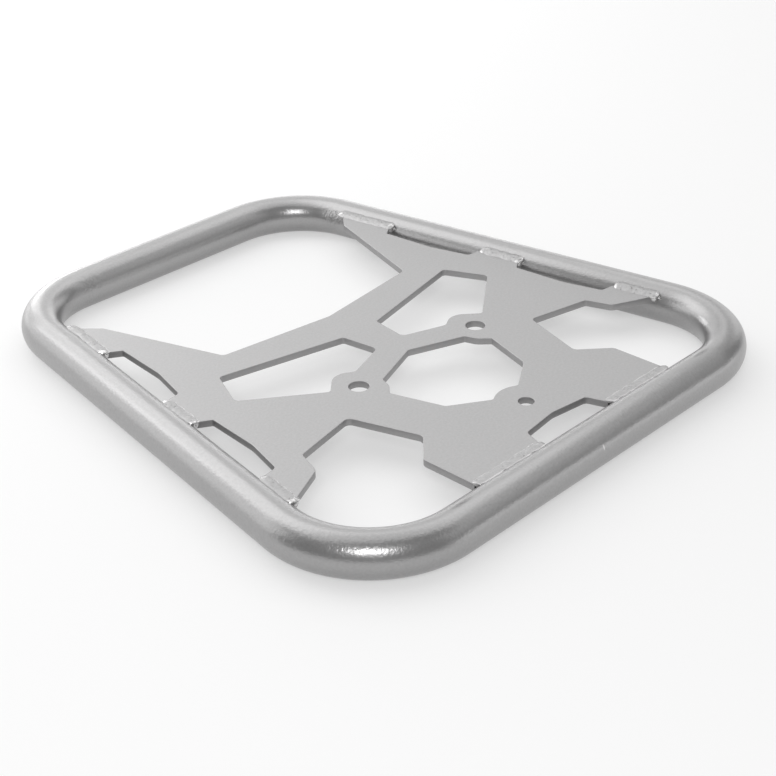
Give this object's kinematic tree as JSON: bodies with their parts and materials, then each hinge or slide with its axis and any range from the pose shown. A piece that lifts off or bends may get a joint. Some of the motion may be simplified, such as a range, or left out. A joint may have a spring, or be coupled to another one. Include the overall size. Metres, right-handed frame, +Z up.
{
  "type": "motorcycle luggage rack",
  "caption": "Flat luggage rack: a tapered hoop of bent round tube with a cut-out carrier plate welded inside it, drilled for bolting to a motorcycle's tail.",
  "frame": {"origin": "middle of the rack's outline at the underside of the tube, on the surface it lies on", "axes": "+X across the rack, +Y along it from the wide run to the narrow run, +Z up"},
  "size_m": [0.2522, 0.276, 0.018],
  "materials": {
    "blasted_tube": "bead-blasted satin",
    "blasted_plate": "bead-blasted matte",
    "weld_metal": "blasted weld bead"
  },
  "bodies": {
    "root": {"hoop_tube": "blasted_tube", "carrier_plate": "blasted_plate", "weld_arm_left": "weld_metal", "weld_arm_right": "weld_metal", "weld_middle_left": "weld_metal", "weld_middle_right": "weld_metal", "weld_corner_left": "weld_metal", "weld_corner_right": "weld_metal", "weld_foot_left": "weld_metal", "weld_foot_right": "weld_metal"}
  },
  "joints": []
}
